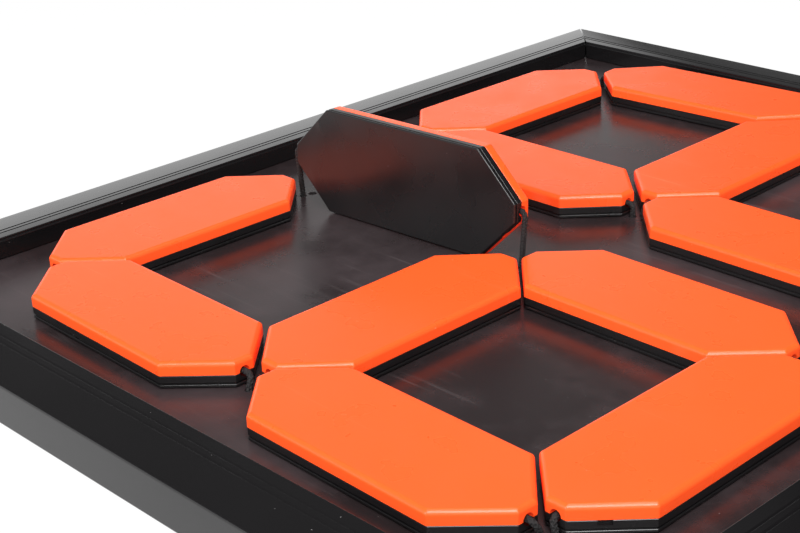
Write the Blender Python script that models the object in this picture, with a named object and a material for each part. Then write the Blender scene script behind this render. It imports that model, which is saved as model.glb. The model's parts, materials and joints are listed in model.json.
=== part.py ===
"""Substitution board with two seven-segment flip digits, lying on its back.

Every segment is a hollow two-part bar, orange on one side and black on the other. It turns on an
elastic cord that runs through it lengthwise and is knotted behind the panel at both ends. To change
a digit, a segment is pulled up against its cord and turned over.

The origin is under the middle of the board, on the surface it lies on. X runs along both digits,
Y runs up the digits and Z points out of the panel. Units are metres.
"""
import math

import bmesh
import bpy
from mathutils import Matrix, Vector

MM = 0.001
CLEAR = 0.3 * MM  # gap between pieces that touch

# Digit layout
SEGMENT_PITCH = 118.4 * MM  # between the two ends' crossing points of one segment
DIGIT_PITCH = 185.0 * MM  # from one digit to the next
DIGIT_RAISE = 2.0 * MM  # how far the digits sit above the middle of the frame
SEGMENT_GAP = 3.2 * MM  # between the slanted ends of two neighbours

# Segment
HALF_WIDTH = 20.0 * MM
TIP_HALF_WIDTH = 3.3 * MM
ORANGE_DEPTH = 4.6 * MM
BLACK_DEPTH = 4.1 * MM
ORANGE_ROUND = 1.7 * MM
BLACK_CHAMFER = 0.35 * MM
FACE_PLATE = 1.0 * MM  # depth of the black cover's face, up to the groove round its side
SIDE_GROOVE_WIDTH = 0.6 * MM
SIDE_GROOVE_DEPTH = 0.6 * MM
SIDE_GROOVE_EDGE = 0.2 * MM
COVER_WALL = 2.0 * MM
COVER_SKIN = 1.9 * MM
RIB_PLACE = 24.8 * MM  # of each cord rib, from the middle
RIB_THICKNESS = 1.6 * MM
POCKET_STOP = 7.5 * MM  # solid length behind each tip
RIM_HEIGHT = 1.2 * MM  # locating rim of the black cover, inside the orange one
RIM_WALL = 1.3 * MM
PRY_SLOT_LENGTH = 4.0 * MM
PRY_SLOT_DEPTH = 1.3 * MM
PRY_SLOT_PLACE = 8.0 * MM  # from the tip's corner, along the slanted end

# Elastic cord
CORD_DIAMETER = 2.5 * MM
CORD_BEND = 2.4 * MM  # from the corner of the bend at a segment's tip to its ends
NOTCH_RADIUS = 1.9 * MM
HOLE_RADIUS = 1.55 * MM
HOLE_FROM_CROSSING = 2.8 * MM
MOVED_HOLE_OFFSET = Vector((4.0 * MM, 2.2 * MM))  # the upper right segment's lower hole, from its crossing
SPARE_HOLE_OFFSET = Vector((4.1 * MM, -3.7 * MM))  # from the crossing at a digit's top right
SPARE_HOLE_RADIUS = 1.75 * MM
KNOT_RADIUS = 1.7 * MM
KNOT_LENGTH = 2.6 * MM
CORD_TAIL = 1.2 * MM

# Panel and frame
PANEL_THICKNESS = 2.0 * MM
PANEL_TUCK = 5.0 * MM
MARGIN = 13.3 * MM  # from the digits to the frame
RAIL_WIDTH = 23.0 * MM
RAIL_BACK = 8.3 * MM  # from the panel's face to the back of the frame
LIP_HEIGHT = 7.1 * MM  # ledge along the opening
LIP_WIDTH = 0.8 * MM
LIP_ROUND = 0.4 * MM
CROWN_HEIGHT = 8.0 * MM  # highest line of the frame, just outside the lip
GROOVES = ((5.2 * MM, 0.8 * MM), (7.8 * MM, 0.9 * MM))  # distance from the opening, width
GROOVE_DEPTH = 0.6 * MM
GROOVE_EDGE = 0.2 * MM
OUTER_EDGE_HEIGHT = 6.2 * MM
OUTER_ROUND = 1.0 * MM
MITRE_GAP = 1.3 * MM
KEY_FROM_INSIDE = 12.0 * MM
KEY_WIDTH = 6.0 * MM
KEY_DEPTH = 7.0 * MM
KEY_LEG = 32.0 * MM

# The segment that stands on edge
STANDING = "tens_upper_right"
STANDING_TURN = math.radians(92.2)
STANDING_CLEAR = 0.3 * MM

# How far each segment has settled out of place: X, Y and turn in the panel's plane
SETTLED = {
    "tens_top": (1.2 * MM, 0.7 * MM, -0.67),
    "tens_upper_left": (2.8 * MM, 1.2 * MM, -1.33),
    "tens_upper_right": (2.2 * MM, -2.2 * MM, 3.7),
    "tens_middle": (-0.2 * MM, -1.1 * MM, 0.3),
    "tens_lower_left": (-0.7 * MM, -0.2 * MM, -1.33),
    "tens_lower_right": (-1.0 * MM, 0.1 * MM, -0.76),
    "tens_bottom": (-1.2 * MM, 1.4 * MM, 0.4),
    "units_top": (-0.5 * MM, -0.1 * MM, -0.5),
    "units_upper_left": (0.1 * MM, 0.4 * MM, 0.53),
    "units_upper_right": (2.6 * MM, -1.4 * MM, 3.57),
    "units_middle": (0.0, -0.1 * MM, 0.55),
    "units_lower_left": (-1.2 * MM, 0.0, -0.73),
}

# Columns and rows of the two crossings that each segment joins
SEGMENTS = {
    "top": ((0, 1), (1, 1)),
    "upper_left": ((0, 0), (0, 1)),
    "upper_right": ((1, 0), (1, 1)),
    "middle": ((0, 0), (1, 0)),
    "lower_left": ((0, -1), (0, 0)),
    "lower_right": ((1, -1), (1, 0)),
    "bottom": ((0, -1), (1, -1)),
}
DIGITS = {"tens": -0.5, "units": 0.5}

# Sizes that follow
SEGMENT_DEPTH = ORANGE_DEPTH + BLACK_DEPTH
AXIS_IN_SEGMENT = SEGMENT_DEPTH / 2  # height of the cord above the black face
PARTING = BLACK_DEPTH - AXIS_IN_SEGMENT  # from the cord's axis
POINT_LENGTH = SEGMENT_PITCH / 2 - SEGMENT_GAP / math.sqrt(2)  # to where the slanted sides would meet
TIP_LENGTH = POINT_LENGTH - TIP_HALF_WIDTH
SIDE_HALF_LENGTH = POINT_LENGTH - HALF_WIDTH
CORD_RADIUS = CORD_DIAMETER / 2
PANEL_FACE = RAIL_BACK  # height of the panel's face
LYING_AXIS = PANEL_FACE + CLEAR + AXIS_IN_SEGMENT
STANDING_AXIS = PANEL_FACE + STANDING_CLEAR + math.hypot(HALF_WIDTH, AXIS_IN_SEGMENT - BLACK_CHAMFER)
DIGIT_WIDTH = SEGMENT_PITCH + 2 * HALF_WIDTH
OPENING_X = DIGIT_PITCH + DIGIT_WIDTH + 2 * MARGIN
OPENING_Y = 2 * SEGMENT_PITCH + 2 * HALF_WIDTH + 2 * MARGIN

ORANGE = ((1.0, 0.16, 0.035), 0.38, 0.0)
BLACK = ((0.012, 0.011, 0.012), 0.32, 0.0)
PANEL_BLACK = ((0.028, 0.024, 0.025), 0.45, 0.0)
FRAME_BLACK = ((0.009, 0.009, 0.010), 0.22, 0.0)
KEY_GREY = ((0.10, 0.10, 0.11), 0.55, 0.0)
CORD_BLACK = ((0.014, 0.013, 0.014), 0.85, 0.0)


def clear_scene():
    for obj in list(bpy.data.objects):
        bpy.data.objects.remove(obj, do_unlink=True)


def new_collection(name):
    made = bpy.data.collections.new(name)
    bpy.context.scene.collection.children.link(made)
    return made


def new_material(name, look):
    colour, roughness, metallic = look
    material = bpy.data.materials.new(name)
    material.use_nodes = True
    shader = material.node_tree.nodes["Principled BSDF"]
    shader.inputs["Base Color"].default_value = (*colour, 1.0)
    shader.inputs["Roughness"].default_value = roughness
    shader.inputs["Metallic"].default_value = metallic
    material.diffuse_color = (*colour, 1.0)
    return material


def new_empty(name, location, turn, parent=None):
    empty = bpy.data.objects.new(name, None)
    empty.location = location
    empty.rotation_euler = turn
    empty.parent = parent
    PARTS.objects.link(empty)
    return empty


def mesh_from_curve(obj):
    """A closed mesh from a curve object, with its caps welded on, and the curve removed."""
    bpy.context.view_layer.update()
    evaluated = obj.evaluated_get(bpy.context.evaluated_depsgraph_get())
    mesh = bpy.data.meshes.new_from_object(evaluated)
    mesh.transform(obj.matrix_world)
    bpy.data.objects.remove(obj, do_unlink=True)
    bm = bmesh.new()
    bm.from_mesh(mesh)
    bmesh.ops.remove_doubles(bm, verts=bm.verts, dist=0.01 * MM)
    bmesh.ops.dissolve_limit(bm, angle_limit=math.radians(0.5), verts=bm.verts, edges=bm.edges)
    bmesh.ops.recalc_face_normals(bm, faces=bm.faces)
    bm.to_mesh(mesh)
    bm.free()
    return mesh


def plate(outline, low, high):
    """Mesh of a flat outline in X and Y, from height low to height high."""
    curve = bpy.data.curves.new("outline", "CURVE")
    curve.dimensions = "2D"
    curve.fill_mode = "BOTH"
    curve.extrude = (high - low) / 2
    spline = curve.splines.new("POLY")
    spline.points.add(len(outline) - 1)
    for point, (x, y) in zip(spline.points, outline):
        point.co = (x, y, 0.0, 1.0)
    spline.use_cyclic_u = True
    obj = bpy.data.objects.new("outline", curve)
    obj.location.z = (low + high) / 2
    bpy.context.scene.collection.objects.link(obj)
    return mesh_from_curve(obj)


def rod(radius, start, end, sides):
    """Mesh of a straight round bar between two points."""
    start, end = Vector(start), Vector(end)
    mesh = bpy.data.meshes.new("rod")
    bm = bmesh.new()
    bmesh.ops.create_cone(bm, cap_ends=True, segments=sides, radius1=radius, radius2=radius,
                          depth=(end - start).length)
    turn = Vector((0, 0, 1)).rotation_difference(end - start).to_matrix().to_4x4()
    bmesh.ops.transform(bm, matrix=Matrix.Translation((start + end) / 2) @ turn, verts=bm.verts)
    bm.to_mesh(mesh)
    bm.free()
    return mesh


def box(low, high):
    """Mesh of a box between two corners."""
    low, high = Vector(low), Vector(high)
    mesh = bpy.data.meshes.new("box")
    bm = bmesh.new()
    bmesh.ops.create_cube(bm, size=1.0)
    bmesh.ops.scale(bm, vec=high - low, verts=bm.verts)
    bmesh.ops.translate(bm, vec=(low + high) / 2, verts=bm.verts)
    bm.to_mesh(mesh)
    bm.free()
    return mesh


def joined(meshes):
    """One mesh that holds several separate closed bodies."""
    bm = bmesh.new()
    for mesh in meshes:
        bm.from_mesh(mesh)
    mesh = bpy.data.meshes.new("bodies")
    bm.to_mesh(mesh)
    bm.free()
    return mesh


def combined(mesh, other, operation):
    """Mesh after an exact Boolean with another mesh."""
    body = bpy.data.objects.new("body", mesh)
    cutter = bpy.data.objects.new("cutter", other)
    bpy.context.scene.collection.objects.link(body)
    CUTTERS.objects.link(cutter)
    cutter.hide_render = True
    cutter.display_type = "WIRE"
    modifier = body.modifiers.new("boolean", "BOOLEAN")
    modifier.operation = operation
    modifier.solver = "EXACT"
    modifier.object = cutter
    bpy.context.view_layer.update()
    evaluated = body.evaluated_get(bpy.context.evaluated_depsgraph_get())
    made = bpy.data.meshes.new_from_object(evaluated)
    bpy.data.objects.remove(body, do_unlink=True)
    bpy.data.objects.remove(cutter, do_unlink=True)
    return made


def edges_where(bm, keep):
    return [edge for edge in bm.edges if all(keep(vert.co) for vert in edge.verts)]


def bevelled(mesh, keep, width, steps):
    """Mesh with the edges rounded whose two ends both pass keep."""
    bm = bmesh.new()
    bm.from_mesh(mesh)
    bmesh.ops.bevel(bm, geom=edges_where(bm, keep), offset=width, segments=steps, profile=0.5,
                    affect="EDGES", clamp_overlap=True)
    bm.to_mesh(mesh)
    bm.free()
    return mesh


def add_part(name, mesh, material, parent=None, location=(0, 0, 0), turn=(0, 0, 0)):
    mesh.name = name
    mesh.materials.clear()
    mesh.materials.append(material)
    obj = bpy.data.objects.new(name, mesh)
    obj.location = location
    obj.rotation_euler = turn
    obj.parent = parent
    PARTS.objects.link(obj)
    return obj


# Segments

def segment_outline(inset=0.0, tip=TIP_LENGTH):
    """Long hexagon with flat tips; inset moves every side inwards."""
    half = HALF_WIDTH - inset
    point = POINT_LENGTH - inset * math.sqrt(2)
    end = min(tip, TIP_LENGTH - inset)
    right = [(point - half, -half), (end, end - point), (end, point - end), (point - half, half)]
    return right + [(-x, -y) for x, y in right]


def end_pocket_outline(inset, start, stop):
    """The part of a hollow between a cord rib and the solid behind a tip."""
    half = HALF_WIDTH - inset
    point = POINT_LENGTH - inset * math.sqrt(2)
    upper = [(start, half), (point - half, half), (stop, point - stop)]
    return upper[::-1] + [(x, -y) for x, y in upper]


def pockets(low, high, middle_inset):
    """Cutters for a cover's three hollows, which leave two cord ribs between them."""
    middle_half = RIB_PLACE - RIB_THICKNESS / 2
    side = HALF_WIDTH - COVER_WALL - middle_inset
    along = middle_half - middle_inset
    middle = [(along, -side), (along, side), (-along, side), (-along, -side)]
    start = RIB_PLACE + RIB_THICKNESS / 2
    end = end_pocket_outline(COVER_WALL, start, TIP_LENGTH - POCKET_STOP)
    mirrored = [(-x, y) for x, y in end[::-1]]
    return joined([plate(outline, low, high) for outline in (middle, end, mirrored)])


def cord_channel():
    """Cutter for the round way that the cord takes through ribs and tips."""
    reach = TIP_LENGTH + 1 * MM
    return rod(NOTCH_RADIUS, (-reach, 0, 0), (reach, 0, 0), 8)


def orange_cover_mesh():
    top = SEGMENT_DEPTH - AXIS_IN_SEGMENT
    low = PARTING + CLEAR / 2
    mesh = plate(segment_outline(), low, top)
    mesh = bevelled(mesh, lambda co: co.z > top - 0.01 * MM, ORANGE_ROUND, 2)
    mesh = combined(mesh, pockets(low - 1 * MM, top - COVER_SKIN, 0.0), "DIFFERENCE")
    return combined(mesh, cord_channel(), "DIFFERENCE")


def pry_slots():
    """Cutters for the two slots in the black cover's rim that a blade opens the segment with."""
    slots = []
    top = PARTING + 1 * MM
    low = PARTING - CLEAR / 2 - PRY_SLOT_DEPTH
    corner = Vector((TIP_LENGTH, TIP_HALF_WIDTH, 0))
    slope = Vector((-1, 1, 0)).normalized()
    for turned in (0, math.pi):
        slot = box((PRY_SLOT_PLACE, -1.5 * COVER_WALL, low),
                   (PRY_SLOT_PLACE + PRY_SLOT_LENGTH, COVER_WALL, top))
        along = Matrix.Rotation(math.atan2(slope.y, slope.x), 4, "Z")
        slot.transform(Matrix.Rotation(turned, 4, "Z") @ Matrix.Translation(corner) @ along)
        slots.append(slot)
    return joined(slots)


def locating_rim(low, high):
    """Raised rectangle on the black cover that seats inside the orange cover's middle hollow."""
    along = RIB_PLACE - RIB_THICKNESS / 2 - CLEAR
    side = HALF_WIDTH - COVER_WALL - CLEAR
    return plate([(along, -side), (along, side), (-along, side), (-along, -side)], low, high)


def black_cover_mesh():
    base = -AXIS_IN_SEGMENT
    plate_top = base + FACE_PLATE
    body_low = plate_top + SIDE_GROOVE_WIDTH
    top = PARTING - CLEAR / 2
    mesh = plate(segment_outline(), body_low, top)
    mesh = bevelled(mesh, lambda co: co.z < body_low + 0.01 * MM, SIDE_GROOVE_EDGE, 1)
    face = plate(segment_outline(), base, plate_top)
    face = bevelled(face, lambda co: co.z < base + 0.01 * MM, BLACK_CHAMFER, 1)
    core = plate(segment_outline(SIDE_GROOVE_DEPTH), base + 0.5 * FACE_PLATE, body_low + 0.5 * MM)
    mesh = combined(mesh, core, "UNION")
    mesh = combined(mesh, face, "UNION")
    mesh = combined(mesh, locating_rim(top - 0.5 * MM, top + RIM_HEIGHT), "UNION")
    hollow = pockets(base + COVER_SKIN, top + RIM_HEIGHT + 1 * MM, RIM_WALL + CLEAR)
    mesh = combined(mesh, hollow, "DIFFERENCE")
    mesh = combined(mesh, pry_slots(), "DIFFERENCE")
    return combined(mesh, cord_channel(), "DIFFERENCE")


# Elastic cord

def rounded_corner(corner, before, after, steps):
    """Points round the corner of a cord that comes along before and goes on along after."""
    first, last = corner - before * CORD_BEND, corner + after * CORD_BEND
    handles = [first, first.lerp(corner, 0.6), last.lerp(corner, 0.6), last]
    points = []
    for i in range(steps + 1):
        t = i / steps
        weights = ((1 - t) ** 3, 3 * t * (1 - t) ** 2, 3 * t * t * (1 - t), t ** 3)
        points.append(sum((w * h for w, h in zip(weights, handles)), Vector((0, 0, 0))))
    return points


def cord_end(hole, height, side):
    """Route and thickness of one end: tip, bend, hole and knot, in the segment's own frame."""
    face = Vector((hole.x, hole.y, 2.5 * CLEAR - height))
    corner = Vector((side * max(abs(hole.x), TIP_LENGTH + CORD_RADIUS + CLEAR), 0, 0))
    route = [(p, 1.0) for p in rounded_corner(corner, Vector((side, 0, 0)), (face - corner).normalized(), 3)]
    knot_top = -height - PANEL_THICKNESS - 1.5 * CLEAR
    swell = KNOT_RADIUS / CORD_RADIUS
    route.append((face, 1.0))
    for depth, thickness in ((0.0, 1.0), (0.25, swell), (0.75, swell), (1.0, 1.0)):
        route.append((Vector((hole.x, hole.y, knot_top - depth * KNOT_LENGTH)), thickness))
    route.append((Vector((hole.x, hole.y, knot_top - KNOT_LENGTH - CORD_TAIL)), 1.0))
    return route


def add_cord(name, parent, holes, height, material):
    """One elastic from its knot behind the panel, through the segment, to its other knot."""
    route = cord_end(holes[0], height, -1)[::-1] + cord_end(holes[1], height, 1)
    curve = bpy.data.curves.new(name, "CURVE")
    curve.dimensions = "3D"
    curve.bevel_depth = CORD_RADIUS
    curve.bevel_resolution = 2
    curve.use_fill_caps = True
    spline = curve.splines.new("POLY")
    spline.points.add(len(route) - 1)
    for point, (place, thickness) in zip(spline.points, route):
        point.co = (*place, 1.0)
        point.radius = thickness
    curve.materials.append(material)
    obj = bpy.data.objects.new(name, curve)
    obj.parent = parent
    PARTS.objects.link(obj)


# Digit layout

def crossing(digit, column, row):
    """Where the middle lines of neighbouring segments would meet."""
    x = DIGITS[digit] * DIGIT_PITCH + (column - 0.5) * SEGMENT_PITCH
    return Vector((x, row * SEGMENT_PITCH + DIGIT_RAISE, 0))


def segment_ends(digit, place):
    return [crossing(digit, column, row) for column, row in SEGMENTS[place]]


def hole_places(digit, place):
    """The two holes in the panel that a segment's cord goes through."""
    first, last = segment_ends(digit, place)
    along = (last - first).normalized() * HOLE_FROM_CROSSING
    low = first + (MOVED_HOLE_OFFSET.to_3d() if place == "upper_right" else along)
    return low, last - along


def add_segment(digit, place, meshes, materials):
    name = f"{digit}_{place}"
    first, last = segment_ends(digit, place)
    shift_x, shift_y, turn = SETTLED.get(name, (0.0, 0.0, 0.0))
    standing = name == STANDING
    axis_height = STANDING_AXIS if standing else LYING_AXIS
    middle = (first + last) / 2 + Vector((shift_x, shift_y, axis_height))
    heading = math.atan2(last.y - first.y, last.x - first.x) + math.radians(turn)
    lift = new_empty(f"{name}_lift", middle, (0, 0, heading))
    flip = new_empty(f"{name}_turn", (0, 0, 0), (STANDING_TURN if standing else 0, 0, 0), lift)
    for side, mesh in meshes.items():
        add_part(f"{name}_{side}_cover", mesh.copy(), materials[side], flip)
    into_segment = (Matrix.Translation(middle) @ Matrix.Rotation(heading, 4, "Z")).inverted()
    holes = [into_segment @ hole for hole in hole_places(digit, place)]
    add_cord(f"{name}_elastic", lift, holes, axis_height - PANEL_FACE, materials["cord"])


# Panel and frame

def panel_mesh():
    half_x = OPENING_X / 2 + PANEL_TUCK
    half_y = OPENING_Y / 2 + PANEL_TUCK
    mesh = box((-half_x, -half_y, PANEL_FACE - PANEL_THICKNESS), (half_x, half_y, PANEL_FACE))
    ends = [hole for digit in DIGITS for place in SEGMENTS for hole in hole_places(digit, place)]
    holes = [(end, HOLE_RADIUS) for end in ends]
    holes += [(crossing(digit, 1, 1) + SPARE_HOLE_OFFSET.to_3d(), SPARE_HOLE_RADIUS) for digit in DIGITS]
    low = PANEL_FACE - PANEL_THICKNESS - 1 * MM
    high = PANEL_FACE + 1 * MM
    drills = [rod(radius, (hole.x, hole.y, low), (hole.x, hole.y, high), 10) for hole, radius in holes]
    return combined(mesh, joined(drills), "DIFFERENCE")


def rounded(corner, before, after, radius):
    """Four points that round a corner of a profile, given the directions along it before and after."""
    corner, before, after = Vector(corner), Vector(before).normalized(), Vector(after).normalized()
    first, last = corner - before * radius, corner + after * radius
    weights = ((1.0, 0.0, 0.0), (0.45, 0.45, 0.1), (0.1, 0.45, 0.45), (0.0, 0.0, 1.0))
    return [tuple(first * a + corner * b + last * c) for a, b, c in weights]


def crown_height(distance):
    """Height of the frame's top above the panel's face; it falls slowly outwards."""
    share = (distance - LIP_WIDTH) / (RAIL_WIDTH - LIP_WIDTH)
    return CROWN_HEIGHT - (CROWN_HEIGHT - OUTER_EDGE_HEIGHT) * share ** 1.5


def rail_profile():
    """Cross-section: distance out from the opening, height above the panel's face."""
    slot = PANEL_TUCK + CLEAR
    below = -PANEL_THICKNESS - CLEAR
    soft = 0.4 * MM
    points = [
        (0, LIP_HEIGHT / 2), (0, CLEAR), (slot, CLEAR), (slot, below), (0, below), (0, soft - RAIL_BACK),
        (soft, -RAIL_BACK), (RAIL_WIDTH - soft, -RAIL_BACK), (RAIL_WIDTH, soft - RAIL_BACK),
    ]
    fall = Vector((-1, 0.12))
    points += rounded((RAIL_WIDTH, OUTER_EDGE_HEIGHT), (0, 1), fall, OUTER_ROUND)
    points.append(((GROOVES[-1][0] + RAIL_WIDTH) / 2, crown_height((GROOVES[-1][0] + RAIL_WIDTH) / 2)))
    for start, width in GROOVES[::-1]:
        top = crown_height(start)
        wall = start + width
        points += [(wall + GROOVE_EDGE, crown_height(wall + GROOVE_EDGE)), (wall, top - GROOVE_EDGE),
                   (wall - GROOVE_EDGE, top - GROOVE_DEPTH), (start + GROOVE_EDGE, top - GROOVE_EDGE),
                   (start - GROOVE_EDGE / 2, crown_height(start - GROOVE_EDGE / 2))]
    points += rounded((LIP_WIDTH, CROWN_HEIGHT), (-1, 0.03), (0, -1), LIP_ROUND)
    points.append((LIP_WIDTH, LIP_HEIGHT))
    points += rounded((0, LIP_HEIGHT), (-1, 0), (0, -1), LIP_ROUND)
    return points


def key_heights():
    middle = PANEL_FACE - PANEL_THICKNESS / 2
    return middle - KEY_DEPTH / 2, middle + KEY_DEPTH / 2


def rail_mesh(half_opening):
    """A rail along X with 45 degree mitres; its outer side faces +Y and its opening side is at Y 0."""
    profile = [(-distance, height + PANEL_FACE) for distance, height in rail_profile()]
    cut_back = MITRE_GAP / math.sqrt(2)
    mesh = plate(profile, -half_opening, half_opening)
    for vert in mesh.vertices:
        distance, height, side = -vert.co.x, vert.co.y, math.copysign(1, vert.co.z)
        vert.co = (side * (half_opening + distance - cut_back), distance, height)
    low, high = key_heights()
    inner = KEY_FROM_INSIDE - CLEAR
    outer = KEY_FROM_INSIDE + KEY_WIDTH + CLEAR
    deep = half_opening + KEY_FROM_INSIDE + KEY_WIDTH - KEY_LEG - CLEAR
    sockets = [box((min(side * deep, side * (half_opening + RAIL_WIDTH)), inner, low - CLEAR),
                   (max(side * deep, side * (half_opening + RAIL_WIDTH)), outer, high + CLEAR))
               for side in (-1, 1)]
    bm = bmesh.new()
    bm.from_mesh(mesh)
    bmesh.ops.recalc_face_normals(bm, faces=bm.faces)
    bm.to_mesh(mesh)
    bm.free()
    return combined(mesh, joined(sockets), "DIFFERENCE")


def add_frame(material):
    """Four rails, each turned so that its outer side faces away from the panel."""
    sides = {
        "rail_top": (OPENING_X / 2, (0, OPENING_Y / 2, 0), 0),
        "rail_left": (OPENING_Y / 2, (-OPENING_X / 2, 0, 0), math.pi / 2),
        "rail_bottom": (OPENING_X / 2, (0, -OPENING_Y / 2, 0), math.pi),
        "rail_right": (OPENING_Y / 2, (OPENING_X / 2, 0, 0), -math.pi / 2),
    }
    for name, (half_opening, place, turn) in sides.items():
        add_part(name, rail_mesh(half_opening), material, None, place, (0, 0, turn))


def add_corner_keys(material):
    """An L-shaped key in each corner holds two mitred rails together."""
    low, high = key_heights()
    outer = KEY_FROM_INSIDE + KEY_WIDTH
    inner = KEY_FROM_INSIDE
    end = outer - KEY_LEG
    outline = [(end, inner), (inner, inner), (inner, end), (outer, end), (outer, outer), (end, outer)]
    corners = {"top_right": (1, 1), "top_left": (-1, 1), "bottom_left": (-1, -1), "bottom_right": (1, -1)}
    for index, (name, (side_x, side_y)) in enumerate(corners.items()):
        place = (side_x * OPENING_X / 2, side_y * OPENING_Y / 2, 0)
        add_part(f"corner_key_{name}", plate(outline, low, high), material, None, place,
                 (0, 0, index * math.pi / 2))


clear_scene()
PARTS = new_collection("substitution_board")
CUTTERS = new_collection("cutters")
looks = {
    "orange": new_material("orange_plastic", ORANGE),
    "black": new_material("black_plastic", BLACK),
    "cord": new_material("black_elastic", CORD_BLACK),
}
add_part("panel", panel_mesh(), new_material("panel_black", PANEL_BLACK))
add_frame(new_material("frame_black", FRAME_BLACK))
add_corner_keys(new_material("key_grey", KEY_GREY))
cover_meshes = {"orange": orange_cover_mesh(), "black": black_cover_mesh()}
for digit_name in DIGITS:
    for place_name in SEGMENTS:
        add_segment(digit_name, place_name, cover_meshes, looks)
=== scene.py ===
# %% [markdown]
# # Dressing a substitution board
#
# The board lies on its back: a satin black panel in a glossy mitred frame, with two digits made of
# hollow orange and black bars. Each bar hangs on a black elastic cord and is pulled up and turned over
# to change the digit. The imported CAD model is the fixed frame of this scene. It says where every piece
# is, so the first cell loads it.

import json
import math

import bmesh
import bpy
from mathutils import Euler, Matrix, Vector


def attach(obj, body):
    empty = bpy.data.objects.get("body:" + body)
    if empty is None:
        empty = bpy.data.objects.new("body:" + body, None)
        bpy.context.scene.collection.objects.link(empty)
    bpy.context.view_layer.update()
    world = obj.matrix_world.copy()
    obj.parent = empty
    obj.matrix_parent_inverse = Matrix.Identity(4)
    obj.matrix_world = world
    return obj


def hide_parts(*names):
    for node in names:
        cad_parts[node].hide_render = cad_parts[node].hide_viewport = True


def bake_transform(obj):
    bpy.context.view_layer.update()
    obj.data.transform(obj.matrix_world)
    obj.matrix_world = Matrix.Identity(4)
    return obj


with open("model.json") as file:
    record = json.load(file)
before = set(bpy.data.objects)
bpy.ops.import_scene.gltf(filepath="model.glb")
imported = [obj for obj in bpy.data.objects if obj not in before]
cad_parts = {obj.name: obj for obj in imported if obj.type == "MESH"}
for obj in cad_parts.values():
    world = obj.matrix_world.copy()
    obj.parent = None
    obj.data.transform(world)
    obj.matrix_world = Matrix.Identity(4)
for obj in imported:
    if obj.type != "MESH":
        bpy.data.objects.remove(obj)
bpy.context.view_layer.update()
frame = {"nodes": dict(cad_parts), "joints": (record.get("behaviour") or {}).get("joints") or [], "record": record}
MM = 0.001

# %% [markdown]
# ## The camera
#
# The camera stands where the photograph was taken from. Its place and angles come from a fit of the
# board's edges and of its whole orange area to the photograph, so they are plain numbers here. The lens
# is given in the usual way, as a focal length on a 36 mm wide sensor.

# %% Place the camera
CAMERA_PLACE = Vector((-413.64, -349.56, 238.11)) * MM
CAMERA_ANGLES = [math.radians(a) for a in (66.402, 2.439, -43.747)]
CAMERA_LENS = 72.76

camera_data = bpy.data.cameras.new("camera")
camera_data.lens = CAMERA_LENS
camera_data.sensor_width = 36.0
camera_data.clip_start = 0.01
camera = bpy.data.objects.new("camera", camera_data)
camera.location = CAMERA_PLACE
camera.rotation_euler = Euler(CAMERA_ANGLES)
bpy.context.scene.collection.objects.link(camera)
bpy.context.scene.camera = camera
bpy.context.scene.view_settings.view_transform = "Standard"
print("camera", round(CAMERA_PLACE.length, 3), "m from the middle of the board")

# %% [markdown]
# ## Where each segment is
#
# Each segment has a hinge in the record. Its position is the middle of the segment and its axis is the
# cord's line, so they give a frame for everything that belongs to the segment. A lying segment has its
# orange face up. The one that stands on edge is turned a little past a right angle.

# %% Read the segments' frames from the hinges
STANDING = "tens_upper_right"
STANDING_TURN = math.radians(92.2)
PANEL_FACE = 8.3 * MM


def segment_frames():
    """Segment name to two matrices: the cord's frame and the turned frame of the covers."""
    frames = {}
    for joint in frame["joints"]:
        if joint["type"] != "hinge":
            continue
        name = joint["child"].removesuffix("_segment")
        heading = math.atan2(joint["axis"][1], joint["axis"][0])
        cord = Matrix.Translation(joint["pos_m"]) @ Matrix.Rotation(heading, 4, "Z")
        turned = cord @ Matrix.Rotation(STANDING_TURN if name == STANDING else 0.0, 4, "X")
        frames[name] = (cord, turned)
    return frames


SEGMENT_FRAMES = segment_frames()
print("segments:", ", ".join(SEGMENT_FRAMES))

# %% [markdown]
# ## Helpers for materials
#
# Every finish here is a Principled shader fed by noise patterns that read Object coordinates. The Finish
# class keeps the node code readable: most of its methods add one pattern or one step, and return the
# socket that the next step takes.

# %% Node helpers


def srgb(red, green, blue):
    """A colour picked in an image editor, 0 to 255, as the linear colour that a shader takes."""
    def linear(value):
        value /= 255
        return value / 12.92 if value <= 0.04045 else ((value + 0.055) / 1.055) ** 2.4
    return (linear(red), linear(green), linear(blue), 1.0)


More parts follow.
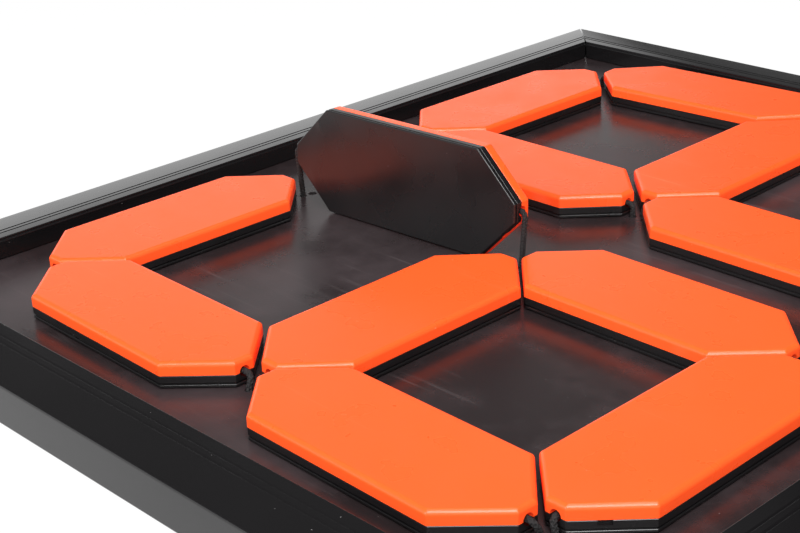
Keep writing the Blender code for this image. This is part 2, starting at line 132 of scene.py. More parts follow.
class Finish:
    """A material in the making: its node tree, its shader and its Object coordinates."""

    def __init__(self, name):
        self.material = bpy.data.materials.new(name)
        self.material.use_nodes = True
        self.tree = self.material.node_tree
        self.shader = self.tree.nodes["Principled BSDF"]
        self.place = self.tree.nodes.new("ShaderNodeTexCoord").outputs["Object"]

    def node(self, kind, **inputs):
        made = self.tree.nodes.new(kind)
        for name, value in inputs.items():
            self.feed(made.inputs[name.replace("_", " ")], value)
        return made

    def feed(self, socket, value):
        if isinstance(value, bpy.types.NodeSocket):
            self.tree.links.new(value, socket)
        else:
            socket.default_value = value

    def stretched(self, size, angle=0.0):
        """Object coordinates turned about Z and squeezed, for patterns with a direction."""
        turn = self.node("ShaderNodeMapping", Vector=self.place, Rotation=(0, 0, angle), Scale=size)
        return turn.outputs["Vector"]

    def noise(self, scale, detail=3.0, vector=None, rough=0.5):
        made = self.node("ShaderNodeTexNoise", Vector=vector or self.place, Scale=scale, Detail=detail)
        made.inputs["Roughness"].default_value = rough
        return made.outputs["Fac"]

    def band(self, value, low, high, to_low=0.0, to_high=1.0):
        """A value moved from one range to another, and held inside it."""
        made = self.node("ShaderNodeMapRange", Value=value)
        made.inputs["From Min"].default_value = low
        made.inputs["From Max"].default_value = high
        made.inputs["To Min"].default_value = to_low
        made.inputs["To Max"].default_value = to_high
        return made.outputs["Result"]

    def math(self, operation, first, second=0.5):
        made = self.tree.nodes.new("ShaderNodeMath")
        made.operation = operation
        self.feed(made.inputs[0], first)
        self.feed(made.inputs[1], second)
        return made.outputs[0]

    def mix(self, amount, first, second):
        made = self.tree.nodes.new("ShaderNodeMix")
        made.data_type = "RGBA"
        self.feed(made.inputs["Factor"], amount)
        self.feed(made.inputs["A"], first)
        self.feed(made.inputs["B"], second)
        return made.outputs["Result"]

    def specks(self, scale, size, share):
        """Small round spots: one in every Voronoi cell, kept only in a share of the cells."""
        cells = self.node("ShaderNodeTexVoronoi", Vector=self.place, Scale=scale)
        spot = self.band(cells.outputs["Distance"], size, size * 0.5)
        lucky = self.node("ShaderNodeSeparateColor", Color=cells.outputs["Color"]).outputs["Red"]
        return self.math("MULTIPLY", spot, self.math("LESS_THAN", lucky, share))

    def scratches(self, angle, scale=(900, 14, 14), low=0.68, high=0.72):
        """Thin broken lines in one direction."""
        lines = self.noise(1.0, 2.0, self.stretched(scale, angle))
        return self.band(lines, low, high)

    def bump(self, height, distance, strength=1.0):
        made = self.node("ShaderNodeBump", Height=height, Distance=distance, Strength=strength)
        self.tree.links.new(made.outputs["Normal"], self.shader.inputs["Normal"])

    def set(self, **inputs):
        for name, value in inputs.items():
            self.feed(self.shader.inputs[name.replace("_", " ")], value)
        return self


# %% [markdown]
# ## Orange plastic
#
# The orange covers are moulded in a bright, slightly fluorescent plastic with a fine satin grain. The
# colour is nearly even, with faint darker clouds from handling, a few hair scratches and some dust. A weak
# red glow is painted light: it lightens the shaded sides of the covers, away from the lamps.

# %% Orange finish


def orange_finish():
    f = Finish("orange_plastic")
    clouds = f.band(f.noise(22, 4), 0.35, 0.75, 0.0, 0.22)
    colour = f.mix(clouds, (0.96, 0.113, 0.018, 1), (0.86, 0.091, 0.015, 1))
    scuffs = f.math("MULTIPLY", f.scratches(0.5), f.band(f.noise(35, 2), 0.5, 0.7))
    colour = f.mix(f.math("MULTIPLY", scuffs, 0.25), colour, (1.0, 0.36, 0.20, 1))
    dust = f.specks(420, 0.09, 0.04)
    colour = f.mix(f.math("MULTIPLY", dust, 0.5), colour, (1.0, 0.55, 0.40, 1))
    f.set(Base_Color=colour, Roughness=f.band(f.noise(60, 3), 0.3, 0.7, 0.25, 0.34), IOR=1.45)
    # Painted light: a weak red glow that lightens the covers' shaded sides.
    f.set(Emission_Color=(1.0, 0.03, 0.01, 1), Emission_Strength=0.30)
    f.bump(f.noise(2600, 2), 0.03 * MM, 0.5)
    return f.material


ORANGE = orange_finish()
print("finish:", ORANGE.name)

# %% [markdown]
# ## Black plastic of the segments
#
# The black covers come from the same tool shop: a satin face with a fine grain. They show dust and light
# scratches more than the orange does, because every mark on them is lighter than the plastic.

# %% Black segment finish


def black_finish():
    f = Finish("black_plastic")
    clouds = f.band(f.noise(30, 4), 0.4, 0.7, 0.0, 0.5)
    colour = f.mix(clouds, srgb(24, 23, 24), srgb(33, 31, 32))
    scuffs = f.math("MULTIPLY", f.scratches(0.9), f.band(f.noise(40, 2), 0.5, 0.7))
    colour = f.mix(f.math("MULTIPLY", scuffs, 0.35), colour, srgb(92, 88, 88))
    dust = f.specks(420, 0.09, 0.06)
    colour = f.mix(f.math("MULTIPLY", dust, 0.35), colour, srgb(150, 145, 142))
    f.set(Base_Color=colour, Roughness=f.band(f.noise(50, 3), 0.3, 0.7, 0.22, 0.34))
    f.bump(f.noise(2200, 2), 0.03 * MM, 0.5)
    return f.material


BLACK = black_finish()
print("finish:", BLACK.name)

# %% [markdown]
# ## The panel
#
# The panel is a sheet with a soft sheen, rubbed grey in clouds where segments and hands have brushed it.
# Its reflections are blurred, so its roughness is higher than the frame's, and highest where it is rubbed.

# %% Panel finish


def panel_finish():
    f = Finish("panel_black")
    clouds = f.band(f.noise(14, 6, rough=0.65), 0.42, 0.75)
    colour = f.mix(clouds, srgb(40, 33, 34), srgb(70, 61, 63))
    strokes = f.scratches(-0.7, (420, 22, 22), 0.60, 0.72)
    rubbed = f.math("MULTIPLY", strokes, f.band(f.noise(18, 3), 0.45, 0.7))
    colour = f.mix(f.math("MULTIPLY", rubbed, 0.3), colour, srgb(108, 100, 101))
    dust = f.specks(460, 0.10, 0.10)
    colour = f.mix(f.math("MULTIPLY", dust, 0.35), colour, srgb(150, 145, 144))
    f.set(Base_Color=colour, Roughness=f.band(clouds, 0.0, 1.0, 0.24, 0.40))
    f.bump(f.noise(1500, 3), 0.04 * MM, 0.5)
    return f.material


PANEL = panel_finish()
print("finish:", PANEL.name)

# %% [markdown]
# ## The frame
#
# The rails are drawn profiles with a high gloss. They mirror the studio, and only a little dust and a
# faint unevenness of the surface break the mirror.

# %% Frame finish


def frame_finish():
    f = Finish("frame_black")
    clouds = f.band(f.noise(9, 3), 0.4, 0.7, 0.0, 0.4)
    colour = f.mix(clouds, srgb(20, 19, 20), srgb(27, 26, 27))
    dust = f.specks(360, 0.08, 0.08)
    colour = f.mix(f.math("MULTIPLY", dust, 0.5), colour, srgb(170, 168, 166))
    f.set(Base_Color=colour, Roughness=f.band(f.noise(25, 3), 0.3, 0.7, 0.10, 0.17))
    f.bump(f.noise(400, 2), 0.02 * MM, 0.3)
    return f.material


FRAME = frame_finish()
print("finish:", FRAME.name)

# %% [markdown]
# ## Elastic and hidden keys
#
# The elastic is a rubber core in a braided black sleeve, matt and a little fuzzy. The corner keys inside
# the frame are plain grey plastic.

# %% Elastic and key finishes


def elastic_finish():
    f = Finish("black_elastic")
    fibres = f.noise(3500, 3)
    colour = f.mix(fibres, srgb(8, 7, 8), srgb(36, 34, 35))
    f.set(Base_Color=colour, Roughness=f.band(fibres, 0.3, 0.7, 0.6, 0.9))
    f.bump(fibres, 0.08 * MM, 0.6)
    return f.material


def key_finish():
    f = Finish("key_grey")
    colour = f.mix(f.noise(90, 3), srgb(78, 78, 80), srgb(98, 98, 100))
    f.set(Base_Color=colour, Roughness=f.band(f.noise(200), 0.3, 0.7, 0.5, 0.65))
    f.bump(f.noise(900, 2), 0.05 * MM, 0.5)
    return f.material


ELASTIC = elastic_finish()
KEY = key_finish()
FINISHES = {"orange_plastic": ORANGE, "black_plastic": BLACK, "panel_black": PANEL,
            "frame_black": FRAME, "black_elastic": ELASTIC, "key_grey": KEY}
for row in frame["record"]["subparts"]:
    node = frame["nodes"][row["node"]]
    for slot in node.material_slots:
        slot.material = FINISHES[row["material_slot"]]
print("finished", len(frame["nodes"]), "CAD nodes")

# %% [markdown]
# ## Sizes
#
# The finer pieces below take the place of plainer CAD solids, and most of their sizes are the CAD's. A few
# follow the photograph more closely: the bars are a little wider and closer together than the solids, and
# the frame's opening is a little taller and narrower. All lengths are in metres.

# %% Sizes
SEGMENT_PITCH = 118.4 * MM
DIGIT_PITCH = 185.0 * MM
DIGIT_RAISE = 2.0 * MM
HALF_WIDTH = 20.25 * MM
TIP_HALF_WIDTH = 3.5 * MM
SEGMENT_GAP = 2.3 * MM  # between the slanted ends of two neighbours
POINT_LENGTH = SEGMENT_PITCH / 2 - SEGMENT_GAP / math.sqrt(2)  # to where the slanted sides would meet
TIP_LENGTH = POINT_LENGTH - TIP_HALF_WIDTH
ORANGE_DEPTH = 4.6 * MM
BLACK_DEPTH = 4.1 * MM
BASE = -(ORANGE_DEPTH + BLACK_DEPTH) / 2  # height of the black face, from the cord's axis
PARTING = BASE + BLACK_DEPTH
SEAM = 0.04 * MM  # from the parting to each cover
SEAM_EDGE = 0.1 * MM
CHANNEL_RADIUS = 1.9 * MM
CHANNEL_HALF_LENGTH = 60 * MM
PANEL_THICKNESS = 2.0 * MM
OPENING = (367.2 * MM, 306.8 * MM)
OPENING_MIDDLE = (-1.3 * MM, 0.6 * MM)  # from the middle of the CAD frame

# %% [markdown]
# ## Shapes from piled outlines
#
# A moulded bar is a pile of outlines. Each outline is the long hexagon moved inwards by some amount, with
# its corners rounded, and the pile's insets and heights draw the bar's side in section. The same idea
# makes a groove: the pile steps in, up and out again.

# %% Outline and pile helpers


def rounded_polygon(corners, radius, steps=4):
    """A convex outline, anticlockwise, with every corner replaced by a short arc."""
    points = []
    for i, corner in enumerate(corners):
        corner = Vector(corner)
        before = (corner - Vector(corners[i - 1])).normalized()
        after = (Vector(corners[(i + 1) % len(corners)]) - corner).normalized()
        turn = math.acos(max(-1.0, min(1.0, before.dot(after))))
        first = corner - before * radius * math.tan(turn / 2)
        centre = first + Vector((-before.y, before.x)) * radius
        for k in range(steps + 1):
            points.append(centre + Matrix.Rotation(turn * k / steps, 2) @ (first - centre))
    return points


def bar_outline(inset):
    """The long hexagon with blunt tips, moved inwards, with rounds that shrink as it does."""
    half = HALF_WIDTH - inset
    point = POINT_LENGTH - inset * math.sqrt(2)
    end = TIP_LENGTH - inset
    right = [(point - half, -half), (end, end - point), (end, point - end), (point - half, half)]
    return rounded_polygon(right + [(-x, -y) for x, y in right], max(0.9 * MM - 0.45 * inset, 0.1 * MM))


def piled(rings):
    """A closed mesh through outlines given from the bottom up as (inset, height)."""
    bm = bmesh.new()
    loops = [[bm.verts.new((x, y, height)) for x, y in bar_outline(inset)] for inset, height in rings]
    for low, high in zip(loops, loops[1:]):
        for i in range(len(low)):
            j = (i + 1) % len(low)
            bm.faces.new((low[i], low[j], high[j], high[i]))
    bm.faces.new(loops[0][::-1])
    bm.faces.new(loops[-1])
    mesh = bpy.data.meshes.new("pile")
    bm.to_mesh(mesh)
    bm.free()
    return mesh


def quarter(radius, steps, height, rising=True):
    """Rings of a rounded edge. Rising goes from the side up on to the top, otherwise from the base up."""
    rings = []
    for k in range(steps + 1):
        a = math.pi / 2 * k / steps
        if rising:
            rings.append((radius * (1 - math.cos(a)), height - radius * (1 - math.sin(a))))
        else:
            rings.append((radius * (1 - math.sin(a)), height + radius * (1 - math.cos(a))))
    return rings


def block(low, high):
    """A box mesh between two corners."""
    mesh = bpy.data.meshes.new("block")
    bm = bmesh.new()
    bmesh.ops.create_cube(bm, size=1.0)
    low, high = Vector(low), Vector(high)
    fit = Matrix.Translation((low + high) / 2) @ Matrix.Diagonal((*(high - low), 1))
    bmesh.ops.transform(bm, matrix=fit, verts=bm.verts)
    bm.to_mesh(mesh)
    bm.free()
    return mesh


def bar(radius, half_length, sides):
    """A round bar along X."""
    mesh = bpy.data.meshes.new("bar")
    bm = bmesh.new()
    bmesh.ops.create_cone(bm, cap_ends=True, segments=sides, radius1=radius, radius2=radius,
                          depth=2 * half_length, matrix=Matrix.Rotation(math.pi / 2, 4, "Y"))
    bm.to_mesh(mesh)
    bm.free()
    return mesh


def evaluated(obj):
    """The mesh of an object with its modifiers applied; the object itself is removed."""
    bpy.context.view_layer.update()
    graph = bpy.context.evaluated_depsgraph_get()
    mesh = bpy.data.meshes.new_from_object(obj.evaluated_get(graph))
    bpy.data.objects.remove(obj, do_unlink=True)
    return mesh


def in_scene(name, data):
    obj = bpy.data.objects.new(name, data)
    bpy.context.scene.collection.objects.link(obj)
    return obj


def cut(mesh, *tools):
    """A mesh after an exact Boolean difference with each tool."""
    for tool in tools:
        body, cutter = in_scene("body", mesh), in_scene("cutter", tool)
        step = body.modifiers.new("cut", "BOOLEAN")
        step.solver = "EXACT"
        step.object = cutter
        mesh = evaluated(body)
        bpy.data.objects.remove(cutter, do_unlink=True)
    return mesh


def softly_shaded(mesh, angle=35):
    """Smooth shading that keeps flat faces flat and edges above the angle sharp."""
    mesh.shade_smooth()
    mesh.set_sharp_from_angle(angle=math.radians(angle))
    obj = in_scene("shaded", mesh)
    weighted = obj.modifiers.new("weighted", "WEIGHTED_NORMAL")
    weighted.weight = 90
    weighted.keep_sharp = True
    return evaluated(obj)


def placed_piece(name, mesh, matrix, body, node, slot_name):
    """One finished piece: its mesh in the board's frame, riding on a body in place of a CAD node."""
    mesh = mesh.copy()
    mesh.transform(matrix)
    mesh.materials.clear()
    mesh.materials.append(FINISHES[slot_name])
    piece = in_scene(name, mesh)
    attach(piece, body)
    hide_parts(node)
    return piece


print("long hexagon:", len(bar_outline(0)), "points")

# %% [markdown]
# ## Orange covers
#
# The orange half is a shallow tray turned upside down. Its top edge has a generous radius, its bottom edge
# is nearly sharp, and a round channel for the cord runs through both tips.

# %% Orange cover
ORANGE_RADIUS = 1.7 * MM


def orange_cover():
    low, top = PARTING + SEAM, BASE + ORANGE_DEPTH + BLACK_DEPTH
    rings = [(SEAM_EDGE, low), (0.0, low + SEAM_EDGE)] + quarter(ORANGE_RADIUS, 6, top)
    return softly_shaded(cut(piled(rings), bar(CHANNEL_RADIUS, CHANNEL_HALF_LENGTH, 24)))


orange_mesh = orange_cover()
for name, (cord, turned) in SEGMENT_FRAMES.items():
    placed_piece(f"{name}_orange", orange_mesh, turned, f"{name}_segment",
                 f"{name}_orange_cover", "orange_plastic")
print("orange cover:", len(orange_mesh.polygons), "faces")

# %% [markdown]
# ## Black covers
#
# The black half has a face plate with a softened edge, then a narrow groove all round its side, then the
# body of the cover up to the parting line. Two slots in the rim let a blade open the bar.

# %% Black cover
FACE_PLATE = 1.0 * MM
FACE_EDGE = 0.4 * MM
FACE_UPPER_EDGE = 0.12 * MM
GROOVE_WIDTH = 0.6 * MM
GROOVE_DEPTH = 0.6 * MM
GROOVE_EDGE = 0.25 * MM
PRY_SLOT = (8 * MM, 12 * MM)  # start and end along the slanted side, from the tip's corner
PRY_SLOT_REACH = 1.3 * MM  # into the bar
PRY_SLOT_DEPTH = 1.45 * MM


def pry_slot(turned):
    """A cutter for one slot, which runs along the slanted side next to a tip."""
    corner = Matrix.Translation((TIP_LENGTH, TIP_HALF_WIDTH, 0))
    slope = corner @ Matrix.Rotation(math.radians(135), 4, "Z")
    start, end = PRY_SLOT
    slot = block((start, -3 * MM, PARTING - PRY_SLOT_DEPTH), (end, PRY_SLOT_REACH, PARTING + 1 * MM))
    slot.transform(Matrix.Rotation(turned, 4, "Z") @ slope)
    return slot


def black_cover():
    plate_top = BASE + FACE_PLATE
    body_low = plate_top + GROOVE_WIDTH
    rings = quarter(FACE_EDGE, 3, BASE, rising=False)
    rings += [(0.0, plate_top - FACE_UPPER_EDGE), (FACE_UPPER_EDGE, plate_top)]
    rings += [(GROOVE_DEPTH, plate_top), (GROOVE_DEPTH, body_low)]
    rings += quarter(GROOVE_EDGE, 3, body_low, rising=False)
    rings += [(0.0, PARTING - SEAM - SEAM_EDGE), (SEAM_EDGE, PARTING - SEAM)]
    tools = (pry_slot(0), pry_slot(math.pi), bar(CHANNEL_RADIUS, CHANNEL_HALF_LENGTH, 24))
    return softly_shaded(cut(piled(rings), *tools))


black_mesh = black_cover()
for name, (cord, turned) in SEGMENT_FRAMES.items():
    placed_piece(f"{name}_black", black_mesh, turned, f"{name}_segment",
                 f"{name}_black_cover", "black_plastic")
print("black cover:", len(black_mesh.polygons), "faces")

# %% [markdown]
# ## Elastic cords
#
# Each elastic is a rubber core in a braided sleeve. A curve gives its route: knot, hole, bend, the length
# inside the segment, and the same in reverse. A Geometry Nodes group then winds strands round that route,
# half of them each way, so that one group makes all fourteen cords.

# %% Cord routes
CORD_RADIUS = 1.1 * MM
CORD_BEND = 2.4 * MM  # from the corner of a bend to its ends
CORD_STRAIGHT = 6 * MM  # of the route inside a tip, before the bend
CORD_CLEAR = 0.3 * MM  # from the tip
HOLE_FROM_CROSSING = 2.8 * MM
MOVED_HOLE_OFFSET = Vector((4.0 * MM, 2.2 * MM, 0))  # the upper right bars' lower hole, from its crossing
KNOT_SWELL = 1.45
KNOT = ((0, 1.0), (0.3, 1.2), (0.7, KNOT_SWELL), (1.3, KNOT_SWELL), (1.9, KNOT_SWELL),
        (2.3, 1.2), (2.6, 1.0), (3.7, 0.95))  # millimetres down from the knot's top, and thickness
SEGMENT_CROSSINGS = {"top": ((0, 1), (1, 1)), "upper_left": ((0, 0), (0, 1)), "upper_right": ((1, 0), (1, 1)),
                     "middle": ((0, 0), (1, 0)), "lower_left": ((0, -1), (0, 0)),
                     "lower_right": ((1, -1), (1, 0)), "bottom": ((0, -1), (1, -1))}


def crossing(digit, column, row):
    x = (-0.5 if digit == "tens" else 0.5) * DIGIT_PITCH + (column - 0.5) * SEGMENT_PITCH
    return Vector((x, row * SEGMENT_PITCH + DIGIT_RAISE, 0))


def cord_holes(name):
    """The two holes in the panel that a segment's cord goes through."""
    digit, place = name.split("_", 1)
    first, last = (crossing(digit, *spot) for spot in SEGMENT_CROSSINGS[place])
    along = (last - first).normalized() * HOLE_FROM_CROSSING
    return first + (MOVED_HOLE_OFFSET if place == "upper_right" else along), last - along


def cord_end(hole, height, side):
    """Points and thickness from inside one tip to the cord's end behind the panel, in the cord's frame."""
    face = Vector((hole.x, hole.y, 0.75 * MM - height))
    corner = Vector((side * max(abs(hole.x), TIP_LENGTH + CORD_RADIUS + CORD_CLEAR), 0, 0))
    into, away = Vector((side, 0, 0)), (face - corner).normalized()
    handles = [corner - into * CORD_BEND, corner - into * 0.4 * CORD_BEND,
               corner + away * 0.4 * CORD_BEND, corner + away * CORD_BEND]
    points = [(corner - into * (CORD_BEND + CORD_STRAIGHT), 1.0)]
    for k in range(9):
        t = k / 8
        weights = ((1 - t) ** 3, 3 * t * (1 - t) ** 2, 3 * t * t * (1 - t), t ** 3)
        points.append((sum((w * h for w, h in zip(weights, handles)), Vector((0, 0, 0))), 1.0))
    points.append((face, 1.0))
    top = -height - PANEL_THICKNESS - 0.45 * MM
    for depth, swell in KNOT:
        points.append((Vector((hole.x, hole.y, top - depth * MM)), swell))
    return points


def cord_curve(name):
    cord = SEGMENT_FRAMES[name][0]
    height = cord.translation.z - PANEL_FACE
    first, last = (cord.inverted() @ (hole + Vector((0, 0, cord.translation.z))) for hole in cord_holes(name))
    route = cord_end(first, height, -1)[::-1] + cord_end(last, height, 1)
    curve = bpy.data.curves.new(name, "CURVE")
    curve.dimensions = "3D"
    spline = curve.splines.new("POLY")
    spline.points.add(len(route) - 1)
    for point, (place, swell) in zip(spline.points, route):
        point.co = (*place, 1.0)
        point.radius = swell
    return in_scene(f"{name}_route", curve)


holes = [tuple(round(v / MM, 1) for v in hole[:2]) for hole in cord_holes(STANDING)]
print("cord holes of the standing segment, in mm:", holes)

# %% [markdown]
# The node group resamples the route, copies it once for every strand, and moves each copy's points round
# the cord. Odd strands turn one way and even ones the other. A slow wave in the distance from the core
# takes a strand over one neighbour and under the next. Inside the bar, where nothing shows, the strands are
# left out and only the core goes through.

# %% Braided cord node group


def braid_group():
    group = bpy.data.node_groups.new("braided_cord", "GeometryNodeTree")
    face = group.interface
    face.new_socket("Geometry", in_out="INPUT", socket_type="NodeSocketGeometry")
    for title, kind, value in (("Strands", "Int", 8), ("Turns per metre", "Float", 190.0),
                               ("Core radius", "Float", 0.78 * MM), ("Strand radius", "Float", 0.27 * MM),
                               ("Step", "Float", 0.4 * MM), ("Hidden half length", "Float", 44 * MM)):
        face.new_socket(title, in_out="INPUT", socket_type=f"NodeSocket{kind}").default_value = value
    face.new_socket("Material", in_out="INPUT", socket_type="NodeSocketMaterial")
    face.new_socket("Geometry", in_out="OUTPUT", socket_type="NodeSocketGeometry")

    def add(kind, **settings):
        made = group.nodes.new(kind)
        for key, value in settings.items():
            setattr(made, key, value)
        return made

    def feed(socket, value):
        if isinstance(value, bpy.types.NodeSocket):
            group.links.new(value, socket)
        else:
            socket.default_value = value

    def calc(operation, first, second=0.0):
        made = add("ShaderNodeMath", operation=operation)
        feed(made.inputs[0], first)
        feed(made.inputs[1], second)
        return made.outputs[0]

    def vector(operation, first, second=None, scale=None):
        made = add("ShaderNodeVectorMath", operation=operation)
        feed(made.inputs[0], first)
        if second is not None:
            feed(made.inputs[1], second)
        if scale is not None:
            feed(made.inputs["Scale"], scale)
        return made.outputs[0]

    given = add("NodeGroupInput").outputs
    route = add("GeometryNodeResampleCurve", mode="LENGTH")
    feed(route.inputs["Curve"], given["Geometry"])
    feed(route.inputs["Length"], given["Step"])

    copies = add("GeometryNodeDuplicateElements", domain="SPLINE")
    feed(copies.inputs["Geometry"], route.outputs[0])
    feed(copies.inputs["Amount"], given["Strands"])
    number = copies.outputs["Duplicate Index"]
    way = calc("SUBTRACT", calc("MULTIPLY", calc("MODULO", number, 2.0), 2.0), 1.0)
    share = calc("DIVIDE", number, given["Strands"])
    travelled = add("GeometryNodeSplineParameter").outputs["Length"]
    turns = calc("ADD", calc("MULTIPLY", calc("MULTIPLY", travelled, given["Turns per metre"]), way), share)
    angle = calc("MULTIPLY", turns, 2 * math.pi)
    half = calc("MULTIPLY", given["Strands"], 0.5)
    wave = calc("SINE", calc("ADD", calc("MULTIPLY", angle, half), calc("MULTIPLY", way, math.pi / 4)))
    core = calc("MULTIPLY", given["Core radius"], add("GeometryNodeInputRadius").outputs[0])
    distance = calc("ADD", core, calc("MULTIPLY", calc("MULTIPLY", wave, given["Strand radius"]), 0.35))
    tangent = add("GeometryNodeInputTangent").outputs[0]
    normal = add("GeometryNodeInputNormal").outputs[0]
    sideways = vector("CROSS_PRODUCT", tangent, normal)
    ring = vector("ADD", vector("SCALE", normal, scale=calc("COSINE", angle)),
                  vector("SCALE", sideways, scale=calc("SINE", angle)))
    moved = add("GeometryNodeSetPosition")
    feed(moved.inputs["Geometry"], copies.outputs["Geometry"])
    feed(moved.inputs["Offset"], vector("SCALE", ring, scale=distance))

    place = add("ShaderNodeSeparateXYZ")
    feed(place.inputs[0], add("GeometryNodeInputPosition").outputs[0])
    hidden = add("FunctionNodeCompare", operation="LESS_THAN")
    feed(hidden.inputs["A"], calc("ABSOLUTE", place.outputs["X"]))
    feed(hidden.inputs["B"], given["Hidden half length"])
    shown = add("GeometryNodeDeleteGeometry", domain="POINT")
    feed(shown.inputs["Geometry"], moved.outputs[0])
    feed(shown.inputs["Selection"], hidden.outputs[0])

    def tube(curve, radius, sides, even):
        profile = add("GeometryNodeCurvePrimitiveCircle")
        profile.inputs["Resolution"].default_value = sides
        feed(profile.inputs["Radius"], radius)
        if even:
            thickness = add("GeometryNodeSetCurveRadius")
            feed(thickness.inputs["Curve"], curve)
            feed(thickness.inputs["Radius"], 1.0)
            curve = thickness.outputs[0]
        made = add("GeometryNodeCurveToMesh")
        feed(made.inputs["Curve"], curve)
        feed(made.inputs["Profile Curve"], profile.outputs[0])
        feed(made.inputs["Fill Caps"], True)
        return made.outputs[0]

    both = add("GeometryNodeJoinGeometry")
    feed(both.inputs[0], tube(shown.outputs[0], given["Strand radius"], 6, True))
    feed(both.inputs[0], tube(route.outputs[0], given["Core radius"], 12, False))
    real = add("GeometryNodeRealizeInstances")
    feed(real.inputs[0], both.outputs[0])
    finish = add("GeometryNodeSetMaterial")
    feed(finish.inputs["Geometry"], real.outputs[0])
    feed(finish.inputs["Material"], given["Material"])
    feed(add("NodeGroupOutput").inputs[0], finish.outputs[0])
    return group


BRAID = braid_group()
print("node group:", BRAID.name, "with", len(BRAID.nodes), "nodes")

# %% [markdown]
# Each route gets the group as a modifier and becomes a plain mesh in the board's frame.

# %% Fourteen elastics


def elastic(name):
    cord = SEGMENT_FRAMES[name][0]
    route = cord_curve(name)
    modifier = route.modifiers.new("braid", "NODES")
    modifier.node_group = BRAID
    sockets = {s.name: s.identifier for s in BRAID.interface.items_tree if s.in_out == "INPUT"}
    modifier[sockets["Material"]] = ELASTIC
    mesh = evaluated(route)
    mesh.transform(cord)
    mesh.shade_smooth()
    piece = in_scene(f"{name}_cord", mesh)
    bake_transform(piece)
    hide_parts(f"{name}_elastic")
    return len(mesh.polygons)


print("faces in one elastic:", max(elastic(name) for name in SEGMENT_FRAMES))

# %% [markdown]
# ## Frame rails
#
# A rail is one profile swept along a side and cut at 45 degrees. Every edge of the profile is rounded, as
# a drawn plastic section is, because these small rounds catch the thin bright lines along the frame.

# %% Rail profile
RAIL_WIDTH = 23.0 * MM
LIP = (0.8 * MM, 7.1 * MM)  # width and height of the ledge along the opening
CROWN = 8.0 * MM
OUTER_EDGE = 6.2 * MM
RAIL_GROOVES = ((7.8 * MM, 0.9 * MM), (5.2 * MM, 0.8 * MM))  # distance from the opening, width
RAIL_GROOVE_DEPTH = 0.6 * MM
FACE_START = 8.9 * MM  # where the wide face begins, outside the grooves
PANEL_SLOT = (5.3 * MM, -2.3 * MM, 0.3 * MM)  # reach, lower and upper height
MITRE_CUT = 0.6 * MM / math.sqrt(2)
KEY_SOCKET = (9.4 * MM, 21.0 * MM)  # inner and outer side, from the opening
KEY_SOCKET_REACH = 17.3 * MM  # along the rail, from the opening's corner
KEY_SOCKET_MIDDLE = PANEL_FACE - 1 * MM
KEY_SOCKET_HALF_HEIGHT = 3.8 * MM


def crown_height(distance):
    """Height of the gently falling face at a distance out from the opening."""
    share = (distance - LIP[0]) / (RAIL_WIDTH - LIP[0])
    return CROWN - (CROWN - OUTER_EDGE) * share ** 1.5


def rail_profile():
    """Corners of the section with the radius of each: distance out from the opening, height, radius."""
    slot, below, above = PANEL_SLOT
    corners = [(0, above, 0.1), (slot, above, 0), (slot, below, 0), (0, below, 0.1), (0, -PANEL_FACE, 0.5),
               (RAIL_WIDTH, -PANEL_FACE, 0.5), (RAIL_WIDTH, OUTER_EDGE, 1.1)]
    for k in (0.75, 0.5, 0.25):
        out = FACE_START + k * (RAIL_WIDTH - FACE_START)
        corners.append((out, crown_height(out), 0))
    for start, width in RAIL_GROOVES:
        end, top = start + width, crown_height(start)
        corners += [(end, crown_height(end), 0.12), (end, top - RAIL_GROOVE_DEPTH, 0.08), (start, top, 0.2)]
    corners += [(LIP[0], CROWN, 0.35), (LIP[0], LIP[1], 0.08), (0, LIP[1], 0.4)]
    return corners


def rounded_section(corners, steps=4):
    """The section's points, with arcs at the corners that have a radius."""
    points = []
    for i, (x, y, radius) in enumerate(corners):
        corner = Vector((x, y))
        before = (corner - Vector(corners[i - 1][:2])).normalized()
        after = (Vector(corners[(i + 1) % len(corners)][:2]) - corner).normalized()
        if radius == 0:
            points.append(corner)
            continue
        turn = -before.angle_signed(after)
        reach = radius * MM * math.tan(abs(turn) / 2)
        side = math.copysign(1.0, turn)
        first = corner - before * reach
        centre = first + Vector((-before.y, before.x)) * radius * MM * side
        for k in range(steps + 1):
            points.append(centre + Matrix.Rotation(turn * k / steps, 2) @ (first - centre))
    return points


SECTION = rounded_section(rail_profile())
print("rail section:", len(SECTION), "points")

# %% Four rails


def rail(half_opening):
    """A rail along X, its opening side at Y 0 and its outer side towards +Y, with mitred, hollow ends."""
    bm = bmesh.new()
    ends = []
    for side in (-1, 1):
        ends.append([bm.verts.new((side * (half_opening + p.x - MITRE_CUT), p.x, p.y + PANEL_FACE))
                     for p in SECTION])
    count = len(SECTION)
    for i in range(count):
        j = (i + 1) % count
        bm.faces.new((ends[0][i], ends[1][i], ends[1][j], ends[0][j]))
    bm.faces.new(ends[0])
    bm.faces.new(ends[1][::-1])
    bmesh.ops.recalc_face_normals(bm, faces=bm.faces)
    mesh = bpy.data.meshes.new("rail")
    bm.to_mesh(mesh)
    bm.free()
    low, high = KEY_SOCKET_MIDDLE - KEY_SOCKET_HALF_HEIGHT, KEY_SOCKET_MIDDLE + KEY_SOCKET_HALF_HEIGHT
    sockets = []
    for side in (-1, 1):
        start, stop = sorted((side * (half_opening - KEY_SOCKET_REACH), side * (half_opening + RAIL_WIDTH)))
        sockets.append(block((start, KEY_SOCKET[0], low), (stop, KEY_SOCKET[1], high)))
    return softly_shaded(cut(mesh, *sockets), 30)


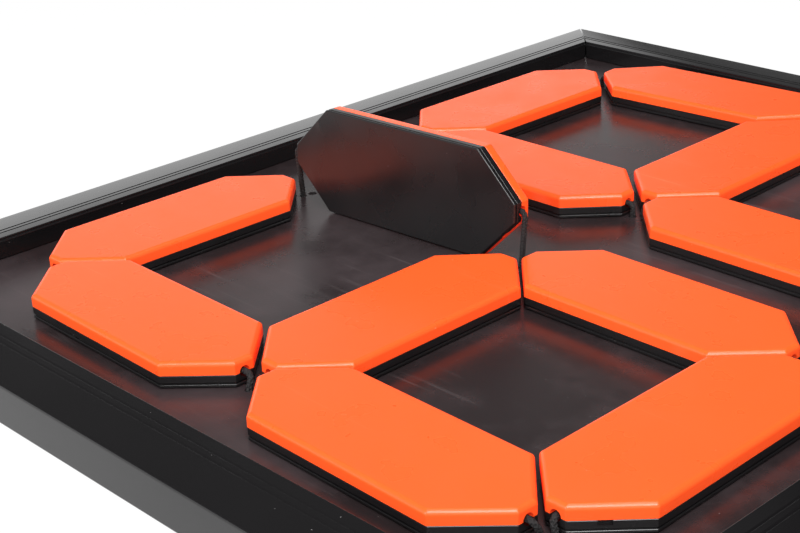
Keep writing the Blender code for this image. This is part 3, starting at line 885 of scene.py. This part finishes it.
half_x, half_y = OPENING[0] / 2, OPENING[1] / 2
to_middle = Matrix.Translation((*OPENING_MIDDLE, 0))
sides = (("top", half_x, (0, half_y, 0), 0), ("left", half_y, (-half_x, 0, 0), 90),
         ("bottom", half_x, (0, -half_y, 0), 180), ("right", half_y, (half_x, 0, 0), -90))
for name, half_opening, place, turn in sides:
    matrix = to_middle @ Matrix.Translation(place) @ Matrix.Rotation(math.radians(turn), 4, "Z")
    placed_piece(f"frame_{name}", rail(half_opening), matrix, "board", f"rail_{name}", "frame_black")
print("four rails placed")

# %% [markdown]
# ## Floor, sky and lamps
#
# The board lies on a plain pale floor. The light is soft and comes mostly from the camera's side, so the
# near level faces of the board mirror the dim part of the room. Low down the room is bright, which shows in
# the far rail and pales the far orange faces, but not to the right of the view, where the faces stay dark.
# The camera itself sees white.

# %% Floor
FLOOR_HALF = 6.0

floor_mesh = bpy.data.meshes.new("floor")
floor_mesh.from_pydata([(-FLOOR_HALF, -FLOOR_HALF, 0), (FLOOR_HALF, -FLOOR_HALF, 0),
                        (FLOOR_HALF, FLOOR_HALF, 0), (-FLOOR_HALF, FLOOR_HALF, 0)], [], [(0, 1, 2, 3)])
floor = bpy.data.objects.new("floor", floor_mesh)
bpy.context.scene.collection.objects.link(floor)
floor.location.z = -0.2 * MM


def floor_finish():
    f = Finish("floor_white")
    f.set(Base_Color=f.mix(f.noise(3, 2), (0.90, 0.90, 0.90, 1), (0.92, 0.92, 0.92, 1)), Roughness=0.8)
    rays = f.tree.nodes.new("ShaderNodeLightPath").outputs
    seen = f.math("MAXIMUM", rays["Is Camera Ray"], rays["Is Glossy Ray"])
    glow = f.node("ShaderNodeEmission", Color=(1, 1, 1, 1), Strength=1.0)
    mixed = f.tree.nodes.new("ShaderNodeMixShader")
    f.feed(mixed.inputs[0], f.math("MULTIPLY", seen, 0.9))
    f.feed(mixed.inputs[1], f.shader.outputs[0])
    f.feed(mixed.inputs[2], glow.outputs[0])
    f.feed(f.tree.nodes["Material Output"].inputs["Surface"], mixed.outputs[0])
    return f.material


floor_mesh.materials.append(floor_finish())
print("floor", FLOOR_HALF * 2, "m wide")

# %% Sky
SKY_LOW = 1.12
SKY_HIGH = 0.10
SKY_EDGE = (0.28, 0.42)
SKY_DARK_SIDE = (0.972, -0.233, 0.0)  # towards the dark part of the room, right of the camera's view
SKY_DARK_EDGE = (0.57, 0.64)  # cosines of the angle from there, from bright to dark
SKY_DARK_SHARE = 0.12


def build_sky():
    """Bright near the horizon, dim above and to the right, and white where the camera sees it."""
    world = bpy.data.worlds.new("room")
    world.use_nodes = True
    bpy.context.scene.world = world
    nodes, links = world.node_tree.nodes, world.node_tree.links
    nodes.clear()

    def soft_step(value, limits, results):
        step = nodes.new("ShaderNodeMapRange")
        step.interpolation_type = "SMOOTHSTEP"
        links.new(value, step.inputs["Value"])
        for name, number in zip(("From Min", "From Max", "To Min", "To Max"), (*limits, *results)):
            step.inputs[name].default_value = number
        return step.outputs["Result"]

    direction = nodes.new("ShaderNodeTexCoord").outputs["Generated"]
    height = nodes.new("ShaderNodeSeparateXYZ")
    links.new(direction, height.inputs[0])
    aside = nodes.new("ShaderNodeVectorMath")
    aside.operation = "DOT_PRODUCT"
    links.new(direction, aside.inputs[0])
    aside.inputs[1].default_value = SKY_DARK_SIDE
    strength = nodes.new("ShaderNodeMath")
    strength.operation = "MULTIPLY"
    links.new(soft_step(height.outputs["Z"], SKY_EDGE, (SKY_LOW, SKY_HIGH)), strength.inputs[0])
    links.new(soft_step(aside.outputs["Value"], SKY_DARK_EDGE, (1.0, SKY_DARK_SHARE)), strength.inputs[1])
    room = nodes.new("ShaderNodeBackground")
    links.new(strength.outputs[0], room.inputs["Strength"])
    white = nodes.new("ShaderNodeBackground")
    rays = nodes.new("ShaderNodeLightPath")
    mixed = nodes.new("ShaderNodeMixShader")
    links.new(rays.outputs["Is Camera Ray"], mixed.inputs[0])
    links.new(room.outputs[0], mixed.inputs[1])
    links.new(white.outputs[0], mixed.inputs[2])
    for background in (room, white):
        background.inputs["Color"].default_value = (1, 1, 1, 1)
    output = nodes.new("ShaderNodeOutputWorld")
    links.new(mixed.outputs[0], output.inputs["Surface"])


build_sky()
print("sky from", SKY_LOW, "low down to", SKY_HIGH, "overhead")

# %% Lamps


def soft_lamp(name, place, size, power):
    """A square soft box that looks at the board."""
    data = bpy.data.lights.new(name, "AREA")
    data.shape = "SQUARE"
    data.size = size
    data.energy = power
    lamp = bpy.data.objects.new(name, data)
    lamp.location = place
    lamp.rotation_euler = (-Vector(place)).to_track_quat("-Z", "Y").to_euler()
    bpy.context.scene.collection.objects.link(lamp)
    return lamp


soft_lamp("key", (-1.1, -1.2, 1.9), 1.2, 62)
soft_lamp("left_fill", (-1.9, 0.3, 1.1), 1.0, 22)
soft_lamp("top_fill", (0.2, -0.5, 2.4), 1.2, 20)
